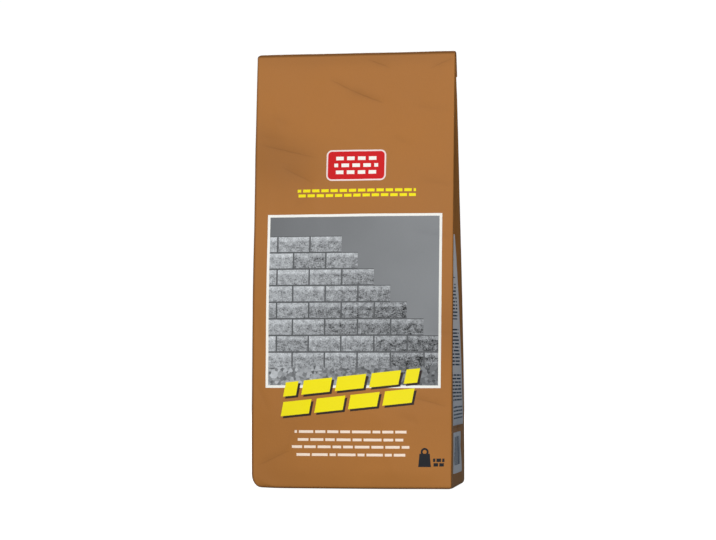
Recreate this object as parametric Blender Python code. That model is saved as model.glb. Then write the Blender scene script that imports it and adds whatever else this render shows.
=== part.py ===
"""A small paper sack of cement, standing on its block bottom.

The sack is one paper tube with a gusset tucked in at each side. Its bottom is folded square and pasted, and
its top is pressed flat and folded over to the back, where its mouth is a slit along the flap's lower edge.
It is full of cement and closed, so paper and cement are one solid. Metres, +Z up, the front panel faces -Y,
and the origin is the centre of the bounding box's bottom face.
"""

import math

import bmesh
import bpy

# The flat tube, as its paper was cut
PANEL_WIDTH = 0.165
GUSSET_WIDTH = 0.090
PAPER = 0.0004

# The filled sack as it stands
HEIGHT = 0.357
BASE_WIDTH = 0.163
BASE_RADIUS = 0.005
PRESSED_DEPTH = 0.004
FULL_DEPTH_HEIGHT = 0.057
TAPER_POWER = 1.36
FRONT_SHARE = 0.30
PANEL_BULGE = 0.006
BULGE_TOP = 0.90 * HEIGHT
BULGE_RISE = 0.8
BULGE_FALL = 1.6

# The top, folded over to the back
FOLD_GAP = 0.001
FOLD_TURN = math.radians(165)
FLAP_DROP = 0.0212
MOUTH_SHARE = 0.84

# The finish, with its colour linear
PAPER_COLOUR = (0.40, 0.17, 0.05)
PAPER_ROUGHNESS = 0.5

# How finely each stretch of the surface is divided, and which of its edges stay sharp
PANEL_STEPS = 8
GUSSET_STEPS = 5
BASE_STEPS = 4
BODY_STEPS = 22
FOLD_STEPS = 8
FLAP_STEPS = 2
HALVINGS = 40
SHARP_ANGLE = math.radians(25)

FOLD_RADIUS = FOLD_GAP / 2
FOLD_HEIGHT = HEIGHT - FOLD_RADIUS - PRESSED_DEPTH


def taper(z):
    """The sack's depth at height z as a share, from 0 where it is pressed flat to 1 where it is full."""
    down = (FOLD_HEIGHT - z) / (FOLD_HEIGHT - FULL_DEPTH_HEIGHT)
    down = min(max(down, 0.0), 1.0)
    return 1 - (1 - down) ** TAPER_POWER


def depth_at(z):
    """The distance between the front and back creases at height z."""
    return PRESSED_DEPTH + (GUSSET_WIDTH - PRESSED_DEPTH) * taper(z)


def half_width_at(z):
    """The panels draw in a little where the cement rounds them out."""
    return (PANEL_WIDTH + (BASE_WIDTH - PANEL_WIDTH) * taper(z)) / 2


def front_at(z):
    """The front creases lean back by a share of what the depth has lost."""
    return -GUSSET_WIDTH / 2 + FRONT_SHARE * (GUSSET_WIDTH - depth_at(z))


def bulge_at(z):
    """How far the cement pushes out the middle of a panel at height z."""
    up = min(max(z / BULGE_TOP, 0.0), 1.0)
    peak = BULGE_RISE / (BULGE_RISE + BULGE_FALL)
    highest = peak**BULGE_RISE * (1 - peak) ** BULGE_FALL
    return PANEL_BULGE * up**BULGE_RISE * (1 - up) ** BULGE_FALL / highest


def tuck_at(half_depth):
    """How far a gusset tucks in, so that each half of it keeps its paper's width.

    A half gusset is a parabola from the crease to the fold line. Its arc length is solved by halving.
    """
    paper = GUSSET_WIDTH / 2
    if half_depth >= paper:
        return 0.0
    low, high = 0.0, paper
    for _ in range(HALVINGS):
        tuck = (low + high) / 2
        slope = 2 * tuck / half_depth
        length = half_depth * (math.hypot(1, slope) / 2 + math.asinh(slope) / (2 * slope))
        if length < paper:
            low = tuck
        else:
            high = tuck
    return low


def section(half_width, depth, tuck, bulge):
    """The tube's outline, as (x, n) points, with n running from the front crease (0) to the back (depth)."""
    shares = [2 * i / PANEL_STEPS - 1 for i in range(PANEL_STEPS + 1)]
    front = [(half_width * share, -bulge * (1 - share**2)) for share in shares]
    back = [(-half_width * share, depth + bulge * (1 - share**2)) for share in shares]
    inward = [i / GUSSET_STEPS for i in range(1, GUSSET_STEPS + 1)]
    half = [(half_width - tuck * t**2, depth / 2 * t) for t in inward]
    right = half + [(x, depth - n) for x, n in reversed(half[:-1])]
    left = [(-x, n) for x, n in reversed(right)]
    return front + right + back + left


def pressed_section():
    """The outline where the tube is pressed flat."""
    return section(PANEL_WIDTH / 2, PRESSED_DEPTH, tuck_at(PRESSED_DEPTH / 2), 0)


def mouth_section():
    """The room that the pressed paper leaves inside its mouth: the outline, one paper's thickness in.

    The gussets meet the panels at a very small angle there, so the room starts well in from the creases.
    """
    middle = PRESSED_DEPTH / 2
    return [(x * MOUTH_SHARE, middle + (n - middle) * (1 - PAPER / middle)) for x, n in pressed_section()]


def base_rings():
    """The rounded edge of the block bottom, from the floor up."""
    rings = []
    for i in range(BASE_STEPS):
        turn = math.pi / 2 * i / BASE_STEPS
        drawn_in = BASE_RADIUS * (1 - math.sin(turn))
        z = BASE_RADIUS * (1 - math.cos(turn))
        outline = section(half_width_at(z) - drawn_in, GUSSET_WIDTH - 2 * drawn_in, 0, bulge_at(z))
        rings.append([(x, front_at(z) + drawn_in + n, z) for x, n in outline])
    return rings


def body_rings():
    """The upright part of the tube, from the base's rounded edge to where the top folds over."""
    rings = []
    for i in range(BODY_STEPS + 1):
        z = BASE_RADIUS + (FOLD_HEIGHT - BASE_RADIUS) * i / BODY_STEPS
        depth = depth_at(z)
        outline = section(half_width_at(z), depth, tuck_at(depth / 2), bulge_at(z))
        rings.append([(x, front_at(z) + n, z) for x, n in outline])
    return rings


def fold_rings(outline):
    """The outline swept over the fold to the back, and down the flap that hangs behind."""
    centre_y = front_at(FOLD_HEIGHT) + PRESSED_DEPTH + FOLD_RADIUS
    flap_length = (FLAP_DROP - (HEIGHT - FOLD_HEIGHT)) / abs(math.cos(FOLD_TURN))
    stations = [(FOLD_TURN * (i + 1) / FOLD_STEPS, 0.0) for i in range(FOLD_STEPS)]
    stations += [(FOLD_TURN, flap_length * (i + 1) / FLAP_STEPS) for i in range(FLAP_STEPS)]
    rings = []
    for turn, along in stations:
        out_y, out_z = -math.cos(turn), math.sin(turn)
        ring = []
        for x, n in outline:
            reach = FOLD_RADIUS + PRESSED_DEPTH - n
            y = centre_y + reach * out_y + along * out_z
            ring.append((x, y, FOLD_HEIGHT + reach * out_z - along * out_y))
        rings.append(ring)
    return rings


def loft(mesh, rings):
    """Adds the rings to the mesh and joins each to the next. Returns their vertices."""
    rows = [[mesh.verts.new(point) for point in ring] for ring in rings]
    for low, high in zip(rows, rows[1:]):
        bridge(mesh, low, high)
    return rows


def bridge(mesh, one, other):
    """Joins two loops that have the same number of vertices, with every quad split the same way."""
    count = len(one)
    for i in range(count):
        j = (i + 1) % count
        mesh.faces.new((one[i], one[j], other[j]))
        mesh.faces.new((one[i], other[j], other[i]))


def close_end(mesh, ring):
    """Closes a ring with two flat faces, which meet on the line between the gussets' fold lines."""
    right = PANEL_STEPS + GUSSET_STEPS
    left = right + len(ring) // 2
    mesh.faces.new(ring[right : left + 1])
    mesh.faces.new(ring[left:] + ring[: right + 1])


def add_object(name, mesh, material):
    """Turns a bmesh into a named object with smooth panels and sharp creases."""
    bmesh.ops.triangulate(mesh, faces=mesh.faces)
    bmesh.ops.recalc_face_normals(mesh, faces=mesh.faces)
    data = bpy.data.meshes.new(name)
    mesh.to_mesh(data)
    mesh.free()
    data.shade_smooth()
    data.set_sharp_from_angle(angle=SHARP_ANGLE)
    data.materials.append(material)
    made = bpy.data.objects.new(name, data)
    bpy.context.scene.collection.objects.link(made)
    return made


def make_material(name, colour, roughness):
    """A plain matt finish in one colour."""
    material = bpy.data.materials.new(name)
    material.use_nodes = True
    shader = material.node_tree.nodes["Principled BSDF"]
    shader.inputs["Base Color"].default_value = (*colour, 1.0)
    shader.inputs["Roughness"].default_value = roughness
    shader.inputs["Metallic"].default_value = 0.0
    return material


def centre_in_depth(made):
    """Moves the mesh along Y, so that its bounding box is centred on the origin."""
    depths = [vertex.co.y for vertex in made.data.vertices]
    offset = -(min(depths) + max(depths)) / 2
    for vertex in made.data.vertices:
        vertex.co.y += offset


def make_sack():
    """The filled sack, from its bottom up and over to the flap, and back in through the mouth."""
    mesh = bmesh.new()
    outside = loft(mesh, base_rings() + body_rings() + fold_rings(pressed_section()))
    inside = loft(mesh, list(reversed(fold_rings(mouth_section())[-FLAP_STEPS:])))
    close_end(mesh, outside[0])
    bridge(mesh, outside[-1], inside[0])
    close_end(mesh, inside[-1])
    return add_object("cement_sack", mesh, make_material("printed_paper", PAPER_COLOUR, PAPER_ROUGHNESS))


def main():
    for existing in list(bpy.data.objects):
        bpy.data.objects.remove(existing)
    centre_in_depth(make_sack())


main()
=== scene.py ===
"""The looks of a small paper sack of cement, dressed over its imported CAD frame.

Metres, +Z up, and the front panel faces -Y. The skin and its print are laid out in paper coordinates: u runs
round the tube from the middle of the front panel, to the right seen from the front, and v runs up the paper
from the floor, over the folded top and down the flap behind.
"""

import math

import bmesh
import bpy
import numpy as np
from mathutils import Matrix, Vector


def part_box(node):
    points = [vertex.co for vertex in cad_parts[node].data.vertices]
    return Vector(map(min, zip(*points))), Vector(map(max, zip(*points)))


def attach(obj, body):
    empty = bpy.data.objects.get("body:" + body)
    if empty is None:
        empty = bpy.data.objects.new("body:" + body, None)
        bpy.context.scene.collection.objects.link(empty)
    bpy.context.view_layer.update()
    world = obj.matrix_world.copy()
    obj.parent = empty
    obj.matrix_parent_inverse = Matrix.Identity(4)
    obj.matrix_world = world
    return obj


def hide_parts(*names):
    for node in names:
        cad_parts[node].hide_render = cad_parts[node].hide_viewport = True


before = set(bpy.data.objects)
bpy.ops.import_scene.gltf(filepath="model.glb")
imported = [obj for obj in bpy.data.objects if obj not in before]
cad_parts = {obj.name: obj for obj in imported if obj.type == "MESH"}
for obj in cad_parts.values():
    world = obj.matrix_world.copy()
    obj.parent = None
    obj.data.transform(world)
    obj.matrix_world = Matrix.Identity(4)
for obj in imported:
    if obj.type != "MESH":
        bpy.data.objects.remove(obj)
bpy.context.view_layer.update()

# The flat tube and the filled sack, as the CAD part has them
PANEL_WIDTH = 0.165
GUSSET_WIDTH = 0.090
HEIGHT = 0.357
BASE_WIDTH = 0.163
PRESSED_DEPTH = 0.004
FULL_DEPTH_HEIGHT = 0.057
TAPER_POWER = 1.36
FRONT_SHARE = 0.30
PANEL_BULGE = 0.006
BULGE_TOP = 0.90 * HEIGHT
BULGE_RISE = 0.8
BULGE_FALL = 1.6
FOLD_RADIUS = 0.0005
FOLD_TURN = math.radians(165)
FLAP_DROP = 0.0212
FOLD_HEIGHT = HEIGHT - FOLD_RADIUS - PRESSED_DEPTH
FLAP_LENGTH = (FLAP_DROP - (HEIGHT - FOLD_HEIGHT)) / abs(math.cos(FOLD_TURN))
HALF_PANEL = PANEL_WIDTH / 2
HALF_GUSSET = GUSSET_WIDTH / 2
HALF_GIRTH = PANEL_WIDTH + GUSSET_WIDTH
GIRTH = 2 * HALF_GIRTH

# The creases that run up the four corners, by their distance round the paper, and how they are rounded
CREASE_PLACES = (-HALF_PANEL - GUSSET_WIDTH, -HALF_PANEL, HALF_PANEL, HALF_PANEL + GUSSET_WIDTH)
CREASE_RADIUS = 0.0014
CREASE_SAMPLES = 5

# The gussets start to tuck in softly: where they tuck in by this much, the ease is two thirds over
TUCK_EASE = 0.006
TUCK_STEPS = 600

# How the paper's edges are rounded at the block bottom and at the ends of the fold. The power keeps that to
# the corners.
FRONT_EDGE_RADIUS = 0.0020
LEFT_EDGE_RADIUS = 0.0076
LEFT_EDGE_HEIGHT = 0.0110
RIGHT_EDGE_RADII = (0.0022, 0.0041)
EDGE_BLEND = 0.020
LEFT_FOLD_CORNER = 0.0040
RIGHT_FOLD_CORNER = 0.0012
CORNER_POWER = 6

# How much wider the rounded creases and the flap stand than the plain outline's mean, at heights going up
GAIN_HEIGHTS = (0.055, 0.125, 0.240, 0.315)
LEFT_GAINS = (0.00025, 0.0007, 0.0007, 0.00100)
RIGHT_GAINS = (0.0003, 0.0003, 0.0001, 0.0004)
FLAP_GAIN = 0.0004
FLAP_GAIN_TURN = math.radians(45)

# How much further the front right crease stands out than the back one, at heights going up
FRONT_HEIGHTS = (0.010, 0.035, 0.125, 0.240, 0.315)
FRONT_GAINS = (0.0, 0.0005, 0.0006, 0.0004, -0.0002)

# How far the block bottom's front corners lie off the floor, and how far that reaches along the front, round
# the sides and up
LEFT_LIFT = (0.0005, 0.014)
RIGHT_LIFT = (0.0004, 0.045)
SIDE_REACH = 0.020
LIFT_HEIGHT = 0.030

# The tube's glued seam down the back: where the overlap ends, and how far it stands proud
SEAM_EDGE = HALF_GIRTH - 0.016
SEAM_STEP = 0.0004
SEAM_SOFTNESS = 0.0002

# How finely the skin is divided
COLUMN_STEP = 0.0017
ROW_STEP = 0.0017
CREASE_STEPS = (0.00035, 0.0007, 0.0011, 0.0016)
CLEAR_OF_CREASE = CREASE_STEPS[-1] + 0.0004
EDGE_ROWS = 6
FOLD_ROWS = 16
MOUTH_ROWS = 4
UNDERSIDE_RINGS = 26
SHARP_ANGLE = math.radians(50)

# The random relief of the paper: how high it is, how far apart its humps are, and its seed
DENTS = ((0.00080, 0.055, 1), (0.00022, 0.021, 2), (0.00006, 0.007, 4))
CRUMPLE = (0.00035, 0.034, 3)
CRUMPLE_POWER = 3

# The power of the fold marks' fade towards their ends
MARK_END = 0.7

# The lattices of random values: their length and spare rows, and the row that lies at the floor
LATTICE_LENGTH = 0.5
SPARE_ROWS = 64
FLOOR_ROW = 8

# The share of the random relief that is left at a corner crease, and how far from there it is whole
CREASE_HOLD = 0.15
STIFF_WIDTH = (0.001, 0.022)

# The fold line up the middle of each gusset: its depth and width, and where it fades
CENTRE_FOLD = 0.0006
CENTRE_FOLD_WIDTH = 0.0012
CENTRE_FOLD_END = (0.060, 0.110)

# All relief sets in between these heights over the floor, and near the fold it falls to this share
FLOOR_HOLD = (0.002, 0.016)
TOP_HOLD = 0.012
TOP_KEPT = 0.25

# The underside: half the length and half the width of its pasted patch, how high its layers lie, how wide
# their lines are, and the light lost in those or gained on the patch
PATCH = (0.062, 0.031)
PATCH_HEIGHT = 0.00045
PATCH_EDGE = 0.0003
TUCK_HEIGHT = 0.00040
TUCK_LINE = 0.0009
TUCK_FADE = (0.004, 0.010)
RIM_FADE = 0.004
OVERLAP_HEIGHT = 0.00020
OVERLAP_PLACE = -0.006
OVERLAP_LINE = 0.0007
LAYER_LINE = 0.0008
LAYER_LOSS = 0.45
PATCH_GAIN = 0.22
PATCH_GAIN_EDGE = 0.0004

# The share of the way in over which the underside is lifted with its rim, and the height and the gap under
# which its points are joined along the middle
RIM_REACH = 0.4
SPINE_HEIGHT = 0.002
SPINE_GAP = 0.00002

# The mouth: the paper's thickness, how far across and up the slit goes between the layers, and the painted
# shade in it
PAPER = 0.0004
MOUTH_SHARE = 0.90
MOUTH_DEPTH = 0.010
MOUTH_SHADE = 0.55

# The side of the square that the flat paper is laid out in for its UV map, and where its parts lie there
SHEET = 0.54
SHEET_MARGIN = 0.004
UNDERSIDE_PLACE = (0.10, 0.485)


def taper(z):
    """The sack's depth at height z as a share, from 0 where it is pressed flat to 1 where it is full."""
    down = np.clip((FOLD_HEIGHT - z) / (FOLD_HEIGHT - FULL_DEPTH_HEIGHT), 0.0, 1.0)
    return 1 - (1 - down) ** TAPER_POWER


def depth_at(z):
    """The distance between the front and back creases at height z."""
    return PRESSED_DEPTH + (GUSSET_WIDTH - PRESSED_DEPTH) * taper(z)


def half_width_at(z):
    """The panels draw in a little where the cement rounds them out."""
    return (PANEL_WIDTH + (BASE_WIDTH - PANEL_WIDTH) * taper(z)) / 2


def front_at(z):
    """The front creases lean back by a share of what the depth has lost."""
    return -HALF_GUSSET + FRONT_SHARE * (GUSSET_WIDTH - depth_at(z))


def bulge_at(z):
    """How far the cement pushes out the middle of a panel at height z."""
    up = np.clip(z / BULGE_TOP, 0.0, 1.0)
    peak = BULGE_RISE / (BULGE_RISE + BULGE_FALL)
    highest = peak**BULGE_RISE * (1 - peak) ** BULGE_FALL
    return PANEL_BULGE * up**BULGE_RISE * (1 - up) ** BULGE_FALL / highest


def solve(rises, target, high, halvings=30):
    """The value between 0 and high at which a rising function reaches the target."""
    low = np.zeros_like(target)
    high = np.broadcast_to(high, target.shape).astype(float)
    for _ in range(halvings):
        middle = (low + high) / 2
        short = rises(middle) < target
        low, high = np.where(short, middle, low), np.where(short, high, middle)
    return low


def arm_length(turn, slope):
    """The length of y = slope / 2 * turn squared from 0 to turn, for each unit of its run."""
    steep = np.maximum(slope * turn, 1e-9)
    return turn * (np.hypot(1, steep) / 2 + np.arcsinh(steep) / (2 * steep))


def tuck_at(depth):
    """How far a gusset tucks in at a given depth: each half keeps its paper's width, but for a soft start."""
    half = depth / 2
    tuck = solve(lambda t: half * arm_length(1.0, 2 * t / half), np.full_like(half, HALF_GUSSET), HALF_GUSSET)
    tuck = np.where(half >= HALF_GUSSET, 0.0, tuck)
    return tuck * (1 - np.exp(-((tuck / TUCK_EASE) ** 2)))


# The tuck for each depth, by the square root of the share that the depth has lost
TUCK_KEYS = np.linspace(0.0, 1.0, TUCK_STEPS)
TUCKS = tuck_at(GUSSET_WIDTH * (1 - TUCK_KEYS**2) + 1e-6)


def outline(u, z):
    """Where the paper at u round the tube lies at height z: x, and how far behind the front creases."""
    u = (u + GIRTH / 2) % GIRTH - GIRTH / 2
    along = np.abs(u)
    depth, width, bulge = depth_at(z), half_width_at(z), bulge_at(z)
    tuck = np.interp(np.sqrt(np.maximum(1 - depth / GUSSET_WIDTH, 0)), TUCK_KEYS, TUCKS)

    front_share = along / HALF_PANEL
    back_share = (GIRTH / 2 - along) / HALF_PANEL
    across = np.clip((along - HALF_PANEL) / HALF_GUSSET, 0, 2)
    inward = np.minimum(across, 2 - across)
    slope = 4 * tuck / depth
    turn = solve(lambda t: arm_length(t, slope), inward * arm_length(1.0, slope), 1.0)
    gusset_n = np.where(across < 1, depth / 2 * turn, depth - depth / 2 * turn)

    on_front, on_back = front_share <= 1, back_share <= 1
    x = np.where(on_front, width * front_share, np.where(on_back, width * back_share, width - tuck * turn**2))
    n = np.where(
        on_front,
        -bulge * (1 - front_share**2),
        np.where(on_back, depth + bulge * (1 - back_share**2), gusset_n),
    )
    return np.sign(u) * x, n


def soft_outline(u, z):
    """The outline with its creases rounded, as the mean of its places over a short stretch of paper."""
    offsets = np.linspace(-CREASE_RADIUS, CREASE_RADIUS, CREASE_SAMPLES)
    places = [outline(u + offset, z) for offset in offsets]
    x, n = (sum(values) / len(places) for values in zip(*places))
    left, right = (np.interp(z, GAIN_HEIGHTS, gains) for gains in (LEFT_GAINS, RIGHT_GAINS))
    from_back = 1 - np.clip((np.abs(u) - HALF_PANEL) / GUSSET_WIDTH, 0, 1)
    right = right + np.interp(z, FRONT_HEIGHTS, FRONT_GAINS) * from_back
    return x * (1 + np.where(x < 0, left, right) / HALF_PANEL), n


def smooth(value, low, high):
    """A smooth step from 0 at low to 1 at high."""
    share = np.clip((value - low) / (high - low), 0, 1)
    return share * share * (3 - 2 * share)


def drift(u, v, size, seed):
    """Smooth random heights between -1 and 1, with humps about size metres apart.

    They close round the tube. The lattice of random values reaches well past the paper at both ends.
    """
    columns = max(3, round(GIRTH / size))
    lattice = np.random.default_rng(seed).uniform(-1, 1, (SPARE_ROWS + round(LATTICE_LENGTH / size), columns))
    across = (u / GIRTH + 0.5) * columns
    up = v / size + FLOOR_ROW
    i, j = np.floor(up).astype(int), np.floor(across).astype(int)
    fade_up, fade_across = smooth(up - i, 0, 1), smooth(across - j, 0, 1)
    j, j_next = j % columns, (j + 1) % columns
    low = lattice[i, j] * (1 - fade_across) + lattice[i, j_next] * fade_across
    high = lattice[i + 1, j] * (1 - fade_across) + lattice[i + 1, j_next] * fade_across
    return low * (1 - fade_up) + high * fade_up


def crease(u, v, start, end, width, depth):
    """A fold mark from start to end: a sharp valley that fades out towards its ends. It is 0 or less."""
    run = np.subtract(end, start)
    length = math.hypot(*run)
    along = ((u - start[0]) * run[0] + (v - start[1]) * run[1]) / length**2
    aside = ((u - start[0]) * run[1] - (v - start[1]) * run[0]) / length
    fade = np.sin(np.pi * np.clip(along, 0, 1)) ** MARK_END
    return -depth * fade * np.exp(-np.abs(aside) / width)


# Fold marks in the filled paper: start, end, how wide and how deep. Those of the right gusset come first, and
# the left gusset has the same.
GUSSET_MARKS = (
    ((0.084, 0.0490), (0.171, 0.0490), 0.0018, 0.00070),
    ((0.085, 0.004), (0.126, 0.052), 0.0030, 0.00055),
    ((0.170, 0.004), (0.129, 0.052), 0.0030, 0.00055),
)
MIRRORED_MARKS = tuple(
    ((-start_u, start_v), (-end_u, end_v), width, depth)
    for (start_u, start_v), (end_u, end_v), width, depth in GUSSET_MARKS
)
FOLD_MARKS = GUSSET_MARKS + MIRRORED_MARKS + (
    ((-0.022, 0.335), (0.005, 0.3215), 0.0020, 0.00060),
    ((-0.003, 0.325), (0.024, 0.314), 0.0020, 0.00075),
    ((0.010, 0.351), (0.029, 0.3435), 0.0022, 0.00055),
    ((0.062, 0.3425), (0.0815, 0.351), 0.0024, 0.00050),
    ((0.046, 0.312), (0.080, 0.3065), 0.0022, 0.00035),
    ((0.030, 0.287), (0.048, 0.278), 0.0022, 0.00035),
    ((0.052, 0.2495), (0.0825, 0.2455), 0.0020, 0.00040),
    ((0.046, 0.209), (0.0825, 0.2025), 0.0016, 0.00040),
    ((0.060, 0.128), (0.0825, 0.1235), 0.0018, 0.00040),
    ((0.050, 0.074), (0.080, 0.066), 0.0024, 0.00045),
    ((0.040, 0.060), (0.057, 0.052), 0.0020, 0.00030),
    ((-0.070, 0.306), (-0.054, 0.296), 0.0022, 0.00035),
    ((-0.081, 0.289), (-0.056, 0.284), 0.0028, 0.00035),
    ((-0.080, 0.2815), (-0.030, 0.269), 0.0030, 0.00060),
    ((-0.060, 0.262), (-0.032, 0.248), 0.0035, 0.00045),
    ((-0.052, 0.228), (-0.030, 0.240), 0.0030, 0.00035),
    ((-0.079, 0.017), (-0.050, 0.031), 0.0030, 0.00045),
    ((-0.057, 0.024), (-0.044, 0.054), 0.0032, 0.00035),
    ((-0.080, 0.150), (-0.073, 0.112), 0.0028, 0.00030),
    ((-0.079, 0.088), (-0.068, 0.062), 0.0028, 0.00035),
    ((0.180, 0.302), (0.222, 0.322), 0.0035, 0.00040),
    ((0.238, 0.262), (0.214, 0.240), 0.0035, 0.00030),
    ((-0.176, 0.258), (-0.206, 0.284), 0.0040, 0.00035),
    ((-0.222, 0.188), (-0.178, 0.180), 0.0040, 0.00028),
    ((0.176, 0.050), (0.206, 0.016), 0.0045, 0.00035),
    ((-0.178, 0.066), (-0.206, 0.030), 0.0045, 0.00035),
)

# Soft patches of painted shade on the front: how far from its middle and from the floor they are, how far
# across and up they reach, and the light lost there. Where the loss is below 0, the place is painted paler,
# as painted light.
PAINTED_SHADING_PLACES = (
    (-0.080, 0.275, 0.034, 0.027, 0.14),
    (-0.047, 0.261, 0.030, 0.018, 0.09),
    (-0.066, 0.036, 0.045, 0.040, 0.05),
    (-0.060, 0.008, 0.040, 0.010, 0.05),
    (0.020, 0.020, 0.090, 0.060, -0.08),
    (0.078, 0.128, 0.012, 0.030, 0.10),
    (0.003, 0.3225, 0.008, 0.005, 0.05),
    (-0.010, 0.352, 0.090, 0.006, 0.09),
)

# The lines of painted shade along the block bottom, the folded top and the corner creases, fainter at the
# back. They lie a little to one side of the creases, and the level ones are wider.
EDGE_LINE = 0.0016
LEVEL_LINE = EDGE_LINE / 0.6
EDGE_SHIFT = 0.0008
EDGE_SHADE = 0.42
BACK_EDGE_SHADE = 0.32
BACK_FADE = (HALF_PANEL + 0.01, HALF_GIRTH / 2)
TOP_LINE = FOLD_HEIGHT + 0.0035
TOP_SHADE = 0.55

# The painted shade in the fold marks, as the light lost for each metre of their depth, and the painted shade
# where the gussets fold in high up
MARK_SHADE = 140.0
GUSSET_SHADE = 0.30
GUSSET_LINE = 0.006
GUSSET_FOLD = (0.19, 0.30)

# The fine line of painted shade along each fold mark that is at least so deep: how wide and dark it is, how
# far and how often it wavers, and how soon it comes in from its ends
LINE_DEPTH = 0.00045
LINE_WIDTH = 0.0007
LINE_SHADE = 0.10
LINE_WAVER = 0.0016
LINE_WAVES = 0.009
LINE_FADE = 4


def crease_distance(u):
    """How far round the paper the nearest of the four corner creases is."""
    return np.min([np.abs(u - place) for place in CREASE_PLACES], axis=0)


def from_gusset(u):
    """How far round the paper the middle of the nearest gusset is."""
    return np.abs(np.abs(u) - HALF_PANEL - HALF_GUSSET)


def marks_at(u, v):
    """How far the fold marks stand out of the paper."""
    return sum(crease(u, v, *mark) for mark in FOLD_MARKS)


def painted_shade_at(u, v):
    """The share of its brightness that the paper keeps under painted shade, in its marks, patches, edges and
    gussets.
    """
    # Painted shade in the fold marks, darker where they are deeper
    tone = 1 + MARK_SHADE * marks_at(u, v)
    # Soft patches of painted shade, and one of painted light
    for place_u, place_v, across, up, lost in PAINTED_SHADING_PLACES:
        tone = tone * (1 - lost * np.exp(-(((u - place_u) / across) ** 2) - ((v - place_v) / up) ** 2))
    # Lines of painted shade along the block bottom, the corner creases and the folded top
    from_crease = crease_distance(u - EDGE_SHIFT)
    line = 1 - np.minimum(smooth(from_crease, 0, EDGE_LINE), smooth(v, 0, LEVEL_LINE))
    top = TOP_SHADE * (1 - smooth(np.abs(v - TOP_LINE), 0, LEVEL_LINE))
    # Painted shade deep in the gussets, where they fold in high up
    folded_in = smooth(HALF_GUSSET - from_gusset(u), 0, GUSSET_LINE) * smooth(v, *GUSSET_FOLD)
    loss = EDGE_SHADE + (BACK_EDGE_SHADE - EDGE_SHADE) * smooth(np.abs(u), *BACK_FADE)
    return tone * (1 - loss * line) * (1 - top) * (1 - GUSSET_SHADE * folded_in)


def relief(u, v):
    """How far the paper stands out of its even shape: soft dents, crumples, fold marks and the seam."""
    dents = sum(height * drift(u, v, size, seed) for height, size, seed in DENTS)
    height, size, seed = CRUMPLE
    crumple = height * (1 - np.abs(drift(u, v, size, seed))) ** CRUMPLE_POWER
    stiff = CREASE_HOLD + (1 - CREASE_HOLD) * smooth(crease_distance(u), *STIFF_WIDTH)
    fold_end = 1 - smooth(v, *CENTRE_FOLD_END)
    centre_fold = -CENTRE_FOLD * np.exp(-from_gusset(u) / CENTRE_FOLD_WIDTH) * fold_end
    step = smooth(u, SEAM_EDGE - SEAM_SOFTNESS, SEAM_EDGE + SEAM_SOFTNESS)
    overlap = step * (1 - smooth(u, SEAM_EDGE, HALF_GIRTH))
    return (dents + crumple) * stiff + marks_at(u, v) + centre_fold + SEAM_STEP * overlap


def column_places():
    """Distances round the paper, from the seam at the back to itself, closer together at the creases.

    The front has columns that face the seam's, so that the underside closes on its middle line.
    """
    evenly = np.linspace(-HALF_GIRTH, HALF_GIRTH, round(GIRTH / COLUMN_STEP) + 1)
    clear = [u for u in evenly if crease_distance(u) > CLEAR_OF_CREASE]
    near = [place + side * step for place in CREASE_PLACES for step in CREASE_STEPS for side in (-1, 1)]
    seam = [SEAM_EDGE - SEAM_SOFTNESS, SEAM_EDGE + SEAM_SOFTNESS]
    facing = [HALF_GIRTH - u for u in seam]
    return np.array(sorted(clear + near + list(CREASE_PLACES) + seam + facing))


def right_radius(u):
    """The radius of the bottom's edge at the right side, which grows towards the back."""
    at_front, at_back = RIGHT_EDGE_RADII
    return at_front + (at_back - at_front) * smooth(np.abs(u), HALF_PANEL, HALF_PANEL + GUSSET_WIDTH)


def edge_height(u):
    """How high the bottom's rounded edge reaches, which blends from the panels to the sides."""
    side_height = np.where(u < 0, LEFT_EDGE_HEIGHT, right_radius(u))
    on_side = smooth(HALF_GUSSET - from_gusset(u), -EDGE_BLEND, 0)
    return FRONT_EDGE_RADIUS + (side_height - FRONT_EDGE_RADIUS) * on_side


def body_points(u):
    """The upright tube, from the floor to where the top folds over, as rows of points with their v."""
    turns = np.linspace(0, math.pi / 2, EDGE_ROWS + 1)[:-1]
    shares = np.linspace(0, 1, round(FOLD_HEIGHT / ROW_STEP) + 1)
    turn = np.concatenate([turns, np.full(len(shares), math.pi / 2)])[:, None]
    share = np.concatenate([np.zeros(len(turns)), shares])[:, None]
    rounded = edge_height(u)[None, :]
    z = rounded * (1 - np.cos(turn)) + (FOLD_HEIGHT - rounded) * share
    x, n = soft_outline(np.broadcast_to(u[None, :], z.shape), z)

    lost = 1 - np.sin(turn)
    side_radius = np.where(u < 0, LEFT_EDGE_RADIUS, right_radius(u))[None, :]
    width, middle = half_width_at(z), depth_at(z) / 2
    x = x - side_radius * lost * np.sign(x) * (np.abs(x) / width) ** CORNER_POWER
    n = middle + (n - middle) * (1 - FRONT_EDGE_RADIUS * lost / middle)
    return np.stack([x, front_at(z) + n, z], axis=-1), z


def folded(x, n, turn, along):
    """Places points of the pressed outline round the fold, and down the flap."""
    centre_y = front_at(FOLD_HEIGHT) + PRESSED_DEPTH + FOLD_RADIUS
    reach = FOLD_RADIUS + PRESSED_DEPTH - n
    y = centre_y - reach * np.cos(turn) + along * np.sin(turn)
    return np.stack([x, y, FOLD_HEIGHT + reach * np.sin(turn) + along * np.cos(turn)], axis=-1)


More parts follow.
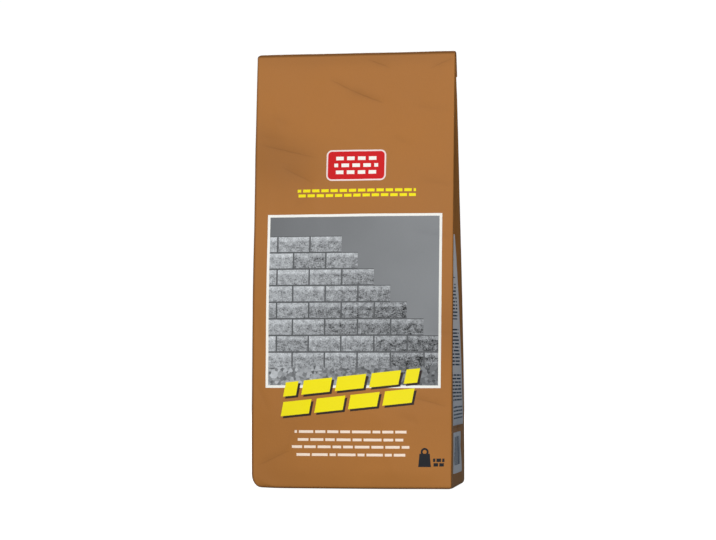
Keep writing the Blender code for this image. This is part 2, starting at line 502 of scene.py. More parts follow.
def fold_points(u):
    """The pressed top turning over to the back, and the flap behind, as rows of points with their v."""
    turns = np.linspace(0, FOLD_TURN, FOLD_ROWS + 1)[1:]
    runs = np.linspace(0, FLAP_LENGTH, round(FLAP_LENGTH / ROW_STEP) + 1)[1:]
    turn = np.concatenate([turns, np.full(len(runs), FOLD_TURN)])[:, None]
    along = np.concatenate([np.zeros(len(turns)), runs])[:, None]
    x, n = soft_outline(u[None, :], np.full((1, len(u)), FOLD_HEIGHT))
    wider = 1 + FLAP_GAIN / HALF_PANEL * smooth(turn, 0, FLAP_GAIN_TURN)
    v = FOLD_HEIGHT + turn * (FOLD_RADIUS + PRESSED_DEPTH) + along
    return folded(x * wider, np.broadcast_to(n, (len(turn), len(u))), turn, along), v + 0 * x


def round_fold_corners(points):
    """Draws in the two ends of the fold, where the top corners of the paper are rounded off."""
    for side, radius in ((-1, LEFT_FOLD_CORNER), (1, RIGHT_FOLD_CORNER)):
        short = np.clip(radius - (HEIGHT - points[..., 2]), 0, radius)
        lost = radius - np.sqrt(radius**2 - short**2)
        share = np.clip(side * points[..., 0] / HALF_PANEL, 0, 1) ** CORNER_POWER
        points[..., 0] -= side * lost * share


def surface_normals(points):
    """The outward direction at every point of the closed tube."""
    ahead, behind = np.roll(points, -1, axis=1), np.roll(points, 1, axis=1)
    up = np.gradient(points, axis=0)
    normals = np.cross(ahead - behind, up)
    return normals / np.linalg.norm(normals, axis=-1, keepdims=True)


def from_patch(x, y):
    """How far outside the underside's patch a point lies, and below 0 inside it."""
    return np.maximum(np.abs(x) - PATCH[0], np.abs(y) - PATCH[1])


def underside_relief(x, y, half_x, half_y):
    """How high the underside's outer layers lie off the floor: a pasted patch, its folds and its tucks."""
    bare = smooth(from_patch(x, y), -PATCH_EDGE, PATCH_EDGE)
    from_end, from_side = half_x - np.abs(x), half_y - np.abs(y)
    tucks = np.exp(-np.abs(from_end - from_side) / TUCK_LINE) * smooth(from_side, *TUCK_FADE)
    overlap = np.exp(-np.abs(y - OVERLAP_PLACE) / OVERLAP_LINE)
    within = smooth(np.minimum(from_end, from_side), 0.0, RIM_FADE)
    return within * (bare * (PATCH_HEIGHT + TUCK_HEIGHT * tucks) + (1 - bare) * OVERLAP_HEIGHT * overlap)


def underside_tone(x, y, half_x, half_y):
    """The share of its brightness that the underside keeps: less at its layers' edges, more on its patch."""
    edge = from_patch(x, y)
    tuck = (half_x - np.abs(x)) - (half_y - np.abs(y))
    lines = np.exp(-np.abs(edge) / LAYER_LINE) + np.exp(-np.abs(tuck) / LAYER_LINE) * (edge > 0)
    paler = PATCH_GAIN * smooth(-edge, -PATCH_GAIN_EDGE, PATCH_GAIN_EDGE)
    return (1 + paler) * (1 - LAYER_LOSS * np.minimum(lines, 1))


def corner_lift(u):
    """How far the rim of the block bottom lies off the floor."""
    corners = ((-HALF_PANEL, *LEFT_LIFT), (HALF_PANEL, *RIGHT_LIFT))
    lifts = [height * np.exp(-(((u - place) / reach) ** 2)) for place, height, reach in corners]
    return sum(lifts) * (1 - smooth(np.abs(u), HALF_PANEL, HALF_PANEL + SIDE_REACH))


def underside_points(rim):
    """Rings that close the bottom, from its rim in to a line along its middle, and their tones."""
    half_x, half_y = np.abs(rim[:, 0]).max(), np.abs(rim[:, 1] - rim[:, 1].mean()).max()
    middle_y = (rim[:, 1].min() + rim[:, 1].max()) / 2
    spine_x = np.clip(rim[:, 0], half_y - half_x, half_x - half_y)
    share = np.linspace(0, 1, UNDERSIDE_RINGS + 1)[1:, None]
    x = rim[:, 0] + (spine_x - rim[:, 0]) * share
    y = rim[:, 1] + (middle_y - rim[:, 1]) * share
    lifted = rim[:, 2] * (1 - smooth(share, 0, RIM_REACH))
    z = underside_relief(x, y - middle_y, half_x, half_y) + lifted
    return np.stack([x, y, z], axis=-1), underside_tone(x, y - middle_y, half_x, half_y)


def mouth_points(u):
    """The slit between the flap's pressed layers, from its rim up to where it ends."""
    x, n = soft_outline(u, np.full(len(u), FOLD_HEIGHT))
    middle = PRESSED_DEPTH / 2
    n = middle + (n - middle) * (1 - PAPER / middle)
    along = np.linspace(FLAP_LENGTH, FLAP_LENGTH - MOUTH_DEPTH, MOUTH_ROWS)[:, None]
    shape = (MOUTH_ROWS, len(u))
    return folded(np.broadcast_to(x * MOUTH_SHARE, shape), np.broadcast_to(n, shape), FOLD_TURN, along)


def add_object(name, data):
    """A new object in the scene."""
    made = bpy.data.objects.new(name, data)
    bpy.context.scene.collection.objects.link(made)
    return made


class Shell:
    """Rings of vertices joined by quads, with their tone and the place of every corner on the flat sheet."""

    def __init__(self):
        self.verts, self.tones, self.faces, self.corners = [], [], [], []

    def add_rings(self, rings, tones):
        """Adds rings of vertices and returns the number of each ring's first one."""
        starts = [len(self.verts) + i * len(rings[0]) for i in range(len(rings))]
        for ring, ring_tones in zip(rings, tones):
            self.verts.extend(ring.tolist())
            self.tones.extend(ring_tones.tolist())
        return starts

    def join(self, starts, places):
        """Joins each ring to the next. A ring has one place on the sheet more than it has vertices."""
        count = len(places[0]) - 1
        for low, high, low_places, high_places in zip(starts, starts[1:], places, places[1:]):
            for i in range(count):
                j = (i + 1) % count
                self.faces.append((low + i, low + j, high + j, high + i))
                self.corners.extend((low_places[i], low_places[i + 1], high_places[i + 1], high_places[i]))

    def close(self, start, loop, places):
        """Adds one flat face round some of a ring's vertices."""
        self.faces.append(tuple(start + i for i in loop))
        self.corners.extend(places[i] for i in loop)

    def make_object(self, name):
        """The finished object, with its UV map."""
        mesh = bpy.data.meshes.new(name)
        mesh.from_pydata(self.verts, [], self.faces)
        layer = mesh.uv_layers.new(name="sheet")
        layer.data.foreach_set("uv", (np.array(self.corners) / SHEET).astype(np.float32).ravel())
        mesh.attributes.new("tone", "FLOAT", "POINT").data.foreach_set("value", self.tones)
        merge_spine(mesh)
        mesh.shade_smooth()
        mesh.set_sharp_from_angle(angle=SHARP_ANGLE)
        return add_object(name, mesh)


def on_tube(u, heights):
    """Where a ring of the tube lies on the sheet."""
    closed = np.append(heights, heights[0])
    return np.stack([u + HALF_GIRTH + SHEET_MARGIN, closed + SHEET_MARGIN], axis=-1)


def on_underside(ring):
    """Where a ring of the underside lies on the sheet."""
    return np.concatenate([ring, ring[:1]])[:, :2] + UNDERSIDE_PLACE


def make_skin():
    """The whole paper skin, laid out in paper coordinates by its UV map."""
    around = column_places()
    u = around[:-1]
    points, v = (np.concatenate(rows) for rows in zip(body_points(u), fold_points(u)))
    round_fold_corners(points)
    hold = smooth(v, *FLOOR_HOLD) * (1 - (1 - TOP_KEPT) * smooth(v, FOLD_HEIGHT - TOP_HOLD, FOLD_HEIGHT))
    low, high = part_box("cement_sack")
    to_node = np.array([0, (low[1] + high[1] - points[..., 1].min() - points[..., 1].max()) / 2, 0])
    points += surface_normals(points) * (relief(u, v) * hold)[..., None]
    points[0, :, 2] = 0.0
    points[..., 2] += corner_lift(u) * (1 - smooth(v, 0, LIFT_HEIGHT))
    underside, underside_tones = underside_points(points[0])
    mouth = mouth_points(u)

    shell = Shell()
    tube = shell.add_rings(points + to_node, painted_shade_at(u, v))
    shell.join(tube, [on_tube(around, row) for row in v])
    bottom = [tube[0]] + shell.add_rings(underside + to_node, underside_tones)
    shell.join(bottom, [on_underside(ring) for ring in [points[0], *underside]])
    slit = [tube[-1]] + shell.add_rings(mouth + to_node, np.full(mouth.shape[:2], MOUTH_SHADE))
    deep = [on_tube(around, v[-1] + PAPER + MOUTH_DEPTH * row / MOUTH_ROWS) for row in range(MOUTH_ROWS + 1)]
    shell.join(slit, deep)

    right, left = (int(np.argmin(np.abs(u - side))) for side in (HALF_GIRTH / 2, -HALF_GIRTH / 2))
    shell.close(slit[-1], range(left, right + 1), deep[-1])
    shell.close(slit[-1], [*range(right, len(u)), *range(left + 1)], deep[-1])
    return shell.make_object("cement_sack_skin")


def merge_spine(mesh):
    """Joins the doubled points where the underside's rings close on its middle line."""
    work = bmesh.new()
    work.from_mesh(mesh)
    low = [vert for vert in work.verts if vert.co.z < SPINE_HEIGHT]
    bmesh.ops.remove_doubles(work, verts=low, dist=SPINE_GAP)
    bmesh.ops.recalc_face_normals(work, faces=work.faces)
    work.to_mesh(mesh)
    work.free()


# The bare paper: its colour and sheen, and the size of its clouds, fibres and upright streaks
BROWN = (0.424, 0.161, 0.031)
PAPER_SHINE = 0.25
CLOUD_SIZE = 0.050
FIBRE_SIZE = 0.0012
STREAK_SIZE = 0.0050
STREAK_LENGTH = 9

# How much these change its brightness, its roughness and its relief
PAPER_TONE = 0.88
CLOUD_TONE = 0.12
FIBRE_TONE = 0.06
STREAK_TONE = 0.06
PAPER_ROUGHNESS = 0.52
CLOUD_ROUGHNESS = 0.12
FIBRE_ROUGHNESS = 0.10
BUMP_STRENGTH = 0.35
BUMP_HEIGHT = 0.0002
STREAK_BUMP = 0.5


class Signal:
    """A number that varies over the paper. Arithmetic on signals makes Math nodes."""

    def __init__(self, socket):
        self.socket = socket

    def math(self, operation, *others, clamp=False):
        """The result of a Math node on this signal and on other signals or plain numbers."""
        tree = self.socket.id_data
        node = tree.nodes.new("ShaderNodeMath")
        node.operation = operation
        node.use_clamp = clamp
        for slot, value in zip(node.inputs, (self, *others)):
            if isinstance(value, Signal):
                tree.links.new(value.socket, slot)
            else:
                slot.default_value = value
        return Signal(node.outputs[0])

    def __add__(self, other):
        return self.math("ADD", other)

    def __sub__(self, other):
        return self.math("SUBTRACT", other)

    def __mul__(self, other):
        return self.math("MULTIPLY", other)

    def __truediv__(self, other):
        return self.math("DIVIDE", other)

    def inverse(self):
        """1 minus the signal."""
        return (self * -1) + 1


def srgb(red, green, blue):
    """A colour given as it reads on a screen, from 0 to 255, as a linear one."""
    shares = (red / 255, green / 255, blue / 255)
    return tuple(((share + 0.055) / 1.055) ** 2.4 if share > 0.04045 else share / 12.92 for share in shares)


def strongest(signals):
    """The largest of some signals at every point."""
    most, *others = signals
    for other in others:
        most = most.math("MAXIMUM", other)
    return most


def rectangle(u, v, left, right, low, high, corner=0.0):
    """How far outside a rectangle a point lies, in metres, and below 0 inside it."""
    across = (u - (left + right) / 2).math("ABSOLUTE") - ((right - left) / 2 - corner)
    up = (v - (low + high) / 2).math("ABSOLUTE") - ((high - low) / 2 - corner)
    if not corner:
        return across.math("MAXIMUM", up)
    across, up = across.math("MAXIMUM", 0), up.math("MAXIMUM", 0)
    return (across * across + up * up).math("SQRT") - corner


def inside(distance, softness=0.0003):
    """1 where a distance is below 0, with a soft edge."""
    return (distance / -softness).math("ADD", 0.5, clamp=True)


def in_boxes(u, v, *boxes):
    """1 inside any of some boxes."""
    return strongest([inside(rectangle(u, v, *box)) for box in boxes])


class Paper:
    """The paper's node tree, with the places on the flat sheet as signals, and the ink laid on so far."""

    def __init__(self, tree):
        self.tree = tree
        split = tree.nodes.new("ShaderNodeSeparateXYZ")
        sheet = tree.nodes.new("ShaderNodeUVMap")
        sheet.uv_map = "sheet"
        tree.links.new(sheet.outputs["UV"], split.inputs[0])
        self.u = Signal(split.outputs["X"]) * SHEET - (HALF_GIRTH + SHEET_MARGIN)
        self.v = Signal(split.outputs["Y"]) * SHEET - SHEET_MARGIN
        self.flat = self.place(self.u, self.v)
        solid = tree.nodes.new("ShaderNodeTexCoord").outputs["Object"]
        self.cloud = self.noise(solid, CLOUD_SIZE, detail=3.0)
        self.fibre = self.noise(solid, FIBRE_SIZE, detail=3.0, roughness=0.65)
        self.streak = self.noise(self.place(self.u * STREAK_LENGTH, self.v), STREAK_SIZE, roughness=0.6)
        # The tone attribute: the painted shade of the tube and the mouth, and the underside's tones
        tone = tree.nodes.new("ShaderNodeAttribute")
        tone.attribute_name = "tone"
        self.tone = Signal(tone.outputs["Fac"])
        self.colour = None

    def fold_lines(self):
        """How strong the painted-shade lines of the deepest fold marks are, and 0 past their ends and sides.
        """
        waver = (self.noise(self.flat, LINE_WAVES) - 0.5) * LINE_WAVER
        lines = []
        for start, end, _, depth in FOLD_MARKS:
            if depth < LINE_DEPTH:
                continue
            run_u, run_v = end[0] - start[0], end[1] - start[1]
            length = math.hypot(run_u, run_v)
            from_u, from_v = self.u - start[0], self.v - start[1]
            along = from_u * (run_u / length**2) + from_v * (run_v / length**2)
            aside = from_u * (run_v / length) - from_v * (run_u / length) + waver
            near = (aside / LINE_WIDTH).math("ABSOLUTE").inverse().math("MAXIMUM", 0)
            fade = (along * along.inverse() * (LINE_FADE * depth / LINE_DEPTH)).math("MAXIMUM", 0)
            lines.append(near * fade)
        return strongest(lines)

    def place(self, u, v, third=0.0):
        """A point as one vector, for a texture node."""
        node = self.tree.nodes.new("ShaderNodeCombineXYZ")
        for slot, value in zip(node.inputs, (u, v, third)):
            if isinstance(value, Signal):
                self.tree.links.new(value.socket, slot)
            else:
                slot.default_value = value
        return node.outputs[0]

    def noise(self, place, size, detail=2.0, roughness=0.5):
        """Smooth random values around 0.5, with humps about size metres apart."""
        node = self.tree.nodes.new("ShaderNodeTexNoise")
        node.inputs["Scale"].default_value = 1 / size
        node.inputs["Detail"].default_value = detail
        node.inputs["Roughness"].default_value = roughness
        self.tree.links.new(place, node.inputs["Vector"])
        return Signal(node.outputs["Fac"])

    def cells(self, place, size, output="Color"):
        """Irregular grains about size metres across: a value for each, or the distance to its middle."""
        node = self.tree.nodes.new("ShaderNodeTexVoronoi")
        node.inputs["Scale"].default_value = 1 / size
        self.tree.links.new(place, node.inputs["Vector"])
        return Signal(node.outputs[output])

    def scatter(self, *numbers):
        """A random value from 0 to 1 for each set of whole numbers."""
        node = self.tree.nodes.new("ShaderNodeTexWhiteNoise")
        self.tree.links.new(self.place(*numbers), node.inputs["Vector"])
        return Signal(node.outputs["Value"])

    def blend(self, share, below, above):
        """The colour that lies the given share of the way from one colour to another."""
        node = self.tree.nodes.new("ShaderNodeMix")
        node.data_type = "RGBA"
        sockets = {slot.identifier: slot for slot in node.inputs}
        self.tree.links.new(share.socket, sockets["Factor_Float"])
        for name, value in (("A_Color", below), ("B_Color", above)):
            if isinstance(value, tuple):
                sockets[name].default_value = (*value, 1)
            else:
                self.tree.links.new(value, sockets[name])
        return next(slot for slot in node.outputs if slot.identifier == "Result_Color")

    def grey(self, value):
        """A grey of the given linear brightness."""
        return self.place(value, value, value)

    def ink(self, mask, colour):
        """Prints a colour over what is there already."""
        self.colour = self.blend(mask, self.colour, colour)


def bond(u, v, length, height, joint):
    """Brick courses in running bond: how far outside its brick a point lies, and the brick's row and column.

    A brick's length and height have half a joint in them at each side.
    """
    row = (v / height).math("FLOOR")
    along = u / length + row * 0.5
    column = along.math("FLOOR")
    return rectangle((along - column) * length, v - row * height,
                     joint / 2, length - joint / 2, joint / 2, height - joint / 2), row, column


def brickwork(u, v, box, length, height, joint):
    """1 on the bricks that fill a box, and 0 outside it and on the joints."""
    left, _, low, _ = box
    bricks, _, _ = bond(u - left, v - low, length, height, joint)
    return inside(bricks) * in_boxes(u, v, box)


def words(paper, along, row, length, gap):
    """The strokes of a line of small print: 1 on a stroke, and 0 in the gaps.

    Each length has one gap, which starts at a random place in its first half.
    """
    cell = (along / length).math("FLOOR")
    start = paper.scatter(cell, row) * (length * 0.5)
    return inside((along - cell * length - start - gap / 2).math("ABSOLUTE") - gap / 2).inverse()


# The inks
RED = srgb(212, 0, 8)
PALE = srgb(250, 226, 220)
WHITE = srgb(255, 249, 238)
CREAM = srgb(255, 229, 206)
YELLOW = srgb(255, 235, 0)
SHADOW = srgb(48, 34, 26)
DARK = srgb(26, 28, 32)
PANEL_GREY = srgb(222, 212, 207)
PANEL_INK = srgb(58, 66, 78)

# Boxes of print are given as left, right, low and high, in metres from the floor and from the middle of the
# front or the front crease of a side.
LABEL = (-0.0223, 0.0268, 0.2500, 0.2754)
LABEL_CORNER = 0.0045
LABEL_RIM = 0.0012
LABEL_MARGINS = (0.0065, 0.0041)
LABEL_BRICK = 0.0090
LABEL_JOINT = 0.0028
LABEL_COURSES = 3


def print_label(paper):
    """A red label with a pale rim and courses of plain white bricks."""
    left, right, low, high = LABEL
    across, up = LABEL_MARGINS
    shape = rectangle(paper.u, paper.v, *LABEL, corner=LABEL_CORNER)
    paper.ink(inside(shape), PALE)
    paper.ink(inside(shape + LABEL_RIM), RED)
    field = (left + across, right - across, low + up, high - up)
    course = (high - low - 2 * up) / LABEL_COURSES
    paper.ink(brickwork(paper.u, paper.v, field, LABEL_BRICK, course, LABEL_JOINT), WHITE)


FRIEZE = (-0.0460, 0.0516, 0.2360, 0.2440)
FRIEZE_BRICK = 0.0076
FRIEZE_JOINT = 0.0016
FRIEZE_COURSES = 2


def print_frieze(paper):
    """A narrow band of small yellow bricks under the label."""
    _, _, low, high = FRIEZE
    course = (high - low) / FRIEZE_COURSES
    paper.ink(brickwork(paper.u, paper.v, FRIEZE, FRIEZE_BRICK, course, FRIEZE_JOINT), YELLOW)


# The picture: its box and border, the wall's blocks and how many courses reach the right edge, and the bed
PICTURE = (-0.0705, 0.0733, 0.0813, 0.2226)
PICTURE_BORDER = 0.0021
BLOCK_LENGTH = 0.0270
BLOCK_HEIGHT = 0.0135
BLOCK_JOINT = 0.0013
WALL_FOOT = 0.002
WALL_COURSES = 9
FULL_COURSES = 2
BED_HEIGHT = 0.010
BED_WAVES = 0.014

# How large the grains in the picture are
CLOUDS = 0.040
GRAIN = 0.0011
PITS = 0.0016
LUMPS = 0.0045
STONES = 0.0024
BED_EDGE = 0.012

# The linear brightness of the picture's parts, and how much it changes to the right and with the grains
SKY_TONE = 0.150
SKY_RISE = 0.090
SKY_CLOUDS = 0.04
BLOCK_TONE = 0.33
BLOCK_FALL = 0.22
BLOCK_TINT = 0.12
BLOCK_LUMPS = 1.1
BLOCK_GRAIN = 0.9
PIT_SIZE = 0.20
PIT_LOSS = 0.16
LIT_EDGE = 0.86 * BLOCK_HEIGHT
LIT_FADE = 0.12 * BLOCK_HEIGHT
LIT_GAIN = 0.16
JOINT_TONE = 0.05
JOINT_GRAIN = 0.12
BED_LEFT = 0.75
BED_FALL = 0.45
BED_STONES = 0.75
BED_GRAIN = 0.20


def picture_sky(paper, from_left):
    """The brightness of the plain wall behind: it grows to the right, with faint clouds."""
    clouds = paper.noise(paper.flat, CLOUDS, detail=1.0)
    return clouds * SKY_CLOUDS + from_left * SKY_RISE + SKY_TONE


def picture_wall(paper, from_left, grain):
    """The brightness of the rough blocks and their joints, and where the stepped wall is."""
    _, right, low, _ = PICTURE
    u, v = paper.u, paper.v
    distance, row, column = bond(u - right, v - low - WALL_FOOT, BLOCK_LENGTH, BLOCK_HEIGHT, BLOCK_JOINT)
    tint = paper.scatter(row, column)
    pits = inside(paper.cells(paper.flat, PITS, "Distance") - PIT_SIZE, softness=0.1)
    lumps = paper.noise(paper.flat, LUMPS, detail=4.0, roughness=0.8)
    rough = (lumps - 0.5) * BLOCK_LUMPS + (grain - 0.5) * BLOCK_GRAIN
    face = tint * BLOCK_TINT + rough + from_left * -BLOCK_FALL + BLOCK_TONE - pits * PIT_LOSS
    lit = inside(v - low - row * BLOCK_HEIGHT - LIT_EDGE, softness=LIT_FADE).inverse() * LIT_GAIN
    joint = grain * JOINT_GRAIN + JOINT_TONE
    block = inside(distance)
    wall = (face + lit) * block + joint * block.inverse()
    end = row * (-BLOCK_LENGTH / 2) + (right + BLOCK_LENGTH / 2 * FULL_COURSES)
    top = low + WALL_FOOT + WALL_COURSES * BLOCK_HEIGHT
    return wall, inside(u - end + BLOCK_JOINT / 2) * inside(v - top)


def picture_bed(paper, from_left, grain):
    """The brightness of the gravel in front of the wall, and where it lies."""
    _, _, low, _ = PICTURE
    stones = paper.cells(paper.flat, STONES)
    bed = (stones * BED_STONES + grain * BED_GRAIN) * (from_left * -BED_FALL + BED_LEFT)
    waves = paper.noise(paper.place(paper.u, 0.0), BED_EDGE, detail=3.0)
    return bed, inside(paper.v - (waves * BED_WAVES + (low + BED_HEIGHT)), softness=0.0012)


def print_picture(paper):
    """A black and white picture of a wall of concrete blocks, stepped down to the right, on a gravel bed."""
    left, right, _, _ = PICTURE
    from_left = (paper.u - left) / (right - left)
    grain = paper.noise(paper.flat, GRAIN, detail=3.0, roughness=0.7)
    wall, in_wall = picture_wall(paper, from_left, grain)
    bed, in_bed = picture_bed(paper, from_left, grain)
    scene = paper.blend(in_wall, paper.grey(picture_sky(paper, from_left)), paper.grey(wall))
    scene = paper.blend(in_bed, scene, paper.grey(bed))
    shape = rectangle(paper.u, paper.v, *PICTURE)
    paper.ink(inside(shape), WHITE)
    paper.ink(inside(shape + PICTURE_BORDER), scene)


# The banner: its lower left corner, its size before it is slanted, how steeply it rises and how far it leans
BANNER_LEFT = -0.0602
BANNER_LOW = 0.0558
BANNER_LENGTH = 0.1122
BANNER_HEIGHT = 0.0314
BANNER_RISE = 0.105
BANNER_LEAN = 0.20
BANNER_BRICKS = 4
BANNER_COURSES = 2
BANNER_JOINT = 0.0044
BANNER_TRIM = 0.0010
SHADOW_SHIFT = 0.0017


def print_banner(paper):
    """Two courses of big slanted yellow bricks that rise to the right, with a dark shadow."""
    for shift, colour in ((SHADOW_SHIFT, SHADOW), (0.0, YELLOW)):
        u = paper.u - (BANNER_LEFT + shift)
        v = paper.v - (BANNER_LOW - shift)
        up = v - u * BANNER_RISE
        along = u - up * BANNER_LEAN
        length, course = BANNER_LENGTH / BANNER_BRICKS, BANNER_HEIGHT / BANNER_COURSES
        bricks, _, _ = bond(along, up, length, course, BANNER_JOINT)
        field = rectangle(along, up, 0, BANNER_LENGTH, 0, BANNER_HEIGHT)
        paper.ink(inside(bricks) * inside(field + BANNER_TRIM), colour)


# The lines of strokes: how high each lies, and how far it reaches to both sides of the middle. The gaps in a
# line are scattered by its height in millimetres.
STROKE_LINES = ((0.0265, 0.0450), (0.0328, 0.0483), (0.0386, 0.0434), (0.0450, 0.0460))
STROKE_HEIGHT = 0.0021
STROKE_LENGTH = 0.0115
STROKE_GAP = 0.0016
MILLIMETRES = 1000


def print_strokes(paper):
    """Lines of plain cream strokes, where small print would be."""
    for low, reach in STROKE_LINES:
        field = in_boxes(paper.u, paper.v, (-reach, reach, low, low + STROKE_HEIGHT))
        strokes = words(paper, paper.u - reach, low * MILLIMETRES, STROKE_LENGTH, STROKE_GAP)
        paper.ink(field * strokes, CREAM)


# The weight, with its box given from its own middle, and its ring's height, radius and half its thickness.
# A small block is given as its length, its height and its joint.
WEIGHT_MIDDLE = 0.0606
WEIGHT = (-0.0052, 0.0052, 0.0180, 0.0288)
WEIGHT_TAPER = 22
RING = (0.0302, 0.0024, 0.0008)
SMALL_BLOCKS = (0.0674, 0.0766, 0.0180, 0.0254)
SMALL_BLOCK = (0.0046, 0.0037, 0.0009)


def print_weight(paper):
    """A plain weight with a ring, and a few small blocks beside it, in dark ink."""
    u, v = paper.u - WEIGHT_MIDDLE, paper.v
    foot = WEIGHT[2]
    body = rectangle(u * ((v - foot) * WEIGHT_TAPER + 1), v, *WEIGHT)
    height, radius, half_thickness = RING
    from_ring = (u * u + (v - height) * (v - height)).math("SQRT") - radius
    ring = from_ring.math("ABSOLUTE") - half_thickness
    paper.ink(inside(body.math("MINIMUM", ring)), DARK)
    paper.ink(brickwork(paper.u, v, SMALL_BLOCKS, *SMALL_BLOCK), DARK)


# The side panels, the sides and heights of the blocks of lines in them, a rule, a mark and a field of bars
PANELS = ((0.0095, 0.0792, 0.0508, 0.2080), (0.0108, 0.0630, 0.0120, 0.0451))
TEXT_SIDES = (0.0145, 0.0760)
TEXT_HEIGHTS = ((0.0560, 0.0660), (0.0700, 0.0935), (0.0990, 0.1310), (0.1375, 0.1670))
RULE = (*TEXT_SIDES, 0.1718, 0.1725)
MARK = (0.0655, 0.0755, 0.1865, 0.1910)
LINE_PITCH = 0.0029
LINE_HEIGHT = 0.0013
WORD_LENGTH = 0.0080
WORD_GAP = 0.0010
BAR_PITCH = 0.0032
BAR_SHARE = 0.56
BARS = (6 * BAR_PITCH, 17 * BAR_PITCH, 0.0185, 0.0415)


def print_sides(paper):
    """The pale panels on both gussets, with lines of plain dark strokes and a field of upright bars."""
    w, v = paper.u.math("ABSOLUTE") - HALF_PANEL, paper.v
    paper.ink(in_boxes(w, v, *PANELS), PANEL_GREY)
    row = (v / LINE_PITCH).math("FLOOR")
    in_row = inside((v - row * LINE_PITCH - LINE_PITCH / 2).math("ABSOLUTE") - LINE_HEIGHT / 2)
    strokes = in_row * words(paper, w, row, WORD_LENGTH, WORD_GAP)
    blocks = [(*TEXT_SIDES, *heights) for heights in TEXT_HEIGHTS]
    paper.ink(in_boxes(w, v, *blocks) * strokes, PANEL_INK)
    paper.ink(in_boxes(w, v, RULE, MARK), PANEL_INK)
    bar = (w / BAR_PITCH).math("FLOOR")
    upright = inside((w - (bar + 0.5) * BAR_PITCH).math("ABSOLUTE") - BAR_PITCH * BAR_SHARE / 2)
    paper.ink(upright * in_boxes(w, v, BARS), PANEL_INK)


def new_material(name):
    """A material and its shader."""
    material = bpy.data.materials.new(name)
    material.use_nodes = True
    return material, material.node_tree.nodes["Principled BSDF"]


def printed_paper():
    """Smooth brown kraft paper with its print, its grain, and shade painted along its edges and fold marks.
    """
    material, shader = new_material("printed_paper")
    tree = material.node_tree
    paper = Paper(tree)
    paper.colour = BROWN
    print_picture(paper)
    print_banner(paper)
    print_label(paper)
    print_frieze(paper)
    print_strokes(paper)
    print_weight(paper)
    print_sides(paper)

    toned = tree.nodes.new("ShaderNodeVectorMath")
    toned.operation = "SCALE"
    tree.links.new(paper.colour, toned.inputs[0])
    # The fold lines and the tone attribute paint shade into the colour; the lines also dent the bump below
    lines = paper.fold_lines()
    kept = (lines * LINE_SHADE).inverse() * paper.tone
    uneven = paper.cloud * CLOUD_TONE + paper.fibre * FIBRE_TONE + paper.streak * STREAK_TONE + PAPER_TONE
    tree.links.new((uneven * kept).socket, toned.inputs["Scale"])
    tree.links.new(toned.outputs[0], shader.inputs["Base Color"])

    rough = paper.cloud * CLOUD_ROUGHNESS + paper.fibre * FIBRE_ROUGHNESS + PAPER_ROUGHNESS
    tree.links.new(rough.socket, shader.inputs["Roughness"])
    shader.inputs["Specular IOR Level"].default_value = PAPER_SHINE
    bump = tree.nodes.new("ShaderNodeBump")
    bump.inputs["Strength"].default_value = BUMP_STRENGTH
    bump.inputs["Distance"].default_value = BUMP_HEIGHT
    tree.links.new((paper.fibre + paper.streak * STREAK_BUMP - lines).socket, bump.inputs["Height"])
    tree.links.new(bump.outputs[0], shader.inputs["Normal"])
    return material


# The camera, as worked out from the photograph: 1.85 m away, to the sack's right, and 0.1 m over the floor
CAMERA_YAW = math.radians(9.35)
CAMERA_DISTANCE = 1.846
CAMERA_HEIGHT = 0.102
CAMERA_PITCH = math.radians(2.37)
CAMERA_TURN = math.radians(0.045)
FOCAL_PIXELS = 2229.0
IMAGE_WIDTH = 716
SENSOR_MM = 36.0


def make_camera():
    """The camera at the photograph's viewing angle."""
    data = bpy.data.cameras.new("camera")
    data.sensor_width = SENSOR_MM
    data.lens = FOCAL_PIXELS / IMAGE_WIDTH * SENSOR_MM
    camera = add_object("camera", data)
    azimuth = CAMERA_YAW + CAMERA_TURN
    camera.location = (
        CAMERA_DISTANCE * math.sin(CAMERA_YAW), -CAMERA_DISTANCE * math.cos(CAMERA_YAW), CAMERA_HEIGHT)
    camera.rotation_euler = (math.pi / 2 + CAMERA_PITCH, 0, azimuth)
    bpy.context.scene.camera = camera


# The lights: name, place, size in metres and power in watts. They all face the same point.
LIGHTS = (
    ("key", (-0.30, -2.10, 1.6), 1.2, 28),
    ("front", (0.45, -2.7, 0.4), 1.0, 35),
    ("back", (-0.2, 2.6, 1.0), 1.2, 46),
)
LIGHT_TARGET = (0, 0, 0.17)
WORLD_COLOUR = (0.76, 0.99, 1.22, 1)
AMBIENT = 0.18

# The stage
FLOOR_RADIUS = 4.0
CURVE_RADIUS = 1.5
WALL_HEIGHT = 5.0
CURVE_STEPS = 16
ROUND_STEPS = 96
BACKDROP_COLOUR = (0.06, 0.06, 0.06, 1)
BACKDROP_ROUGHNESS = 0.9
BACKDROP_GLOW = 1.0


def make_light(name, place, size, power):
    """A soft square light that faces the middle of the sack."""
    data = bpy.data.lights.new(name, "AREA")
    data.size = size
    data.energy = power
    light = add_object(name, data)
    light.location = place
    light.rotation_euler = (Vector(LIGHT_TARGET) - Vector(place)).to_track_quat("-Z", "Y").to_euler()


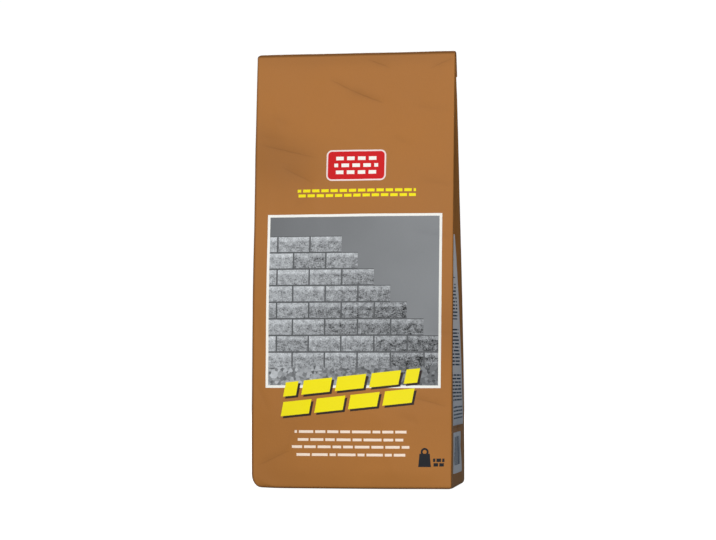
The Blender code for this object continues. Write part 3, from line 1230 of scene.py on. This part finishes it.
def make_world(colour, strength):
    """An even pale surrounding light."""
    world = bpy.data.worlds.new("studio")
    world.use_nodes = True
    background = world.node_tree.nodes["Background"]
    background.inputs["Color"].default_value = colour
    background.inputs["Strength"].default_value = strength
    bpy.context.scene.world = world


def glowing_white():
    """The backdrop's material, which glows so that it renders as white."""
    material, shader = new_material("backdrop")
    shader.inputs["Base Color"].default_value = BACKDROP_COLOUR
    shader.inputs["Roughness"].default_value = BACKDROP_ROUGHNESS
    shader.inputs["Emission Color"].default_value = (1, 1, 1, 1)
    shader.inputs["Emission Strength"].default_value = BACKDROP_GLOW
    return material


def make_backdrop():
    """A round floor that curves up into a wall all round. It doesn't light the sack."""
    profile = [(0.0, 0.0), (FLOOR_RADIUS, 0.0)]
    for i in range(1, CURVE_STEPS + 1):
        turn = math.pi / 2 * i / CURVE_STEPS
        profile.append((FLOOR_RADIUS + CURVE_RADIUS * math.sin(turn), CURVE_RADIUS * (1 - math.cos(turn))))
    profile.append((FLOOR_RADIUS + CURVE_RADIUS, WALL_HEIGHT))
    turns = [2 * math.pi * i / ROUND_STEPS for i in range(ROUND_STEPS)]
    verts = [(radius * math.cos(turn), radius * math.sin(turn), z) for radius, z in profile for turn in turns]
    faces = []
    for row in range(len(profile) - 1):
        for i in range(ROUND_STEPS):
            j = (i + 1) % ROUND_STEPS
            low, high = row * ROUND_STEPS, (row + 1) * ROUND_STEPS
            faces.append((low + i, low + j, high + j, high + i))
    mesh = bpy.data.meshes.new("backdrop")
    mesh.from_pydata(verts, [], faces)
    mesh.shade_smooth()
    mesh.materials.append(glowing_white())
    backdrop = add_object("backdrop", mesh)
    backdrop.visible_diffuse = False
    backdrop.visible_glossy = False


def main():
    skin = make_skin()
    skin.data.materials.append(printed_paper())
    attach(skin, "root")
    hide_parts("cement_sack")

    make_backdrop()
    make_world(WORLD_COLOUR, AMBIENT)
    for light in LIGHTS:
        make_light(*light)
    make_camera()
    bpy.context.scene.view_settings.view_transform = "Standard"


main()
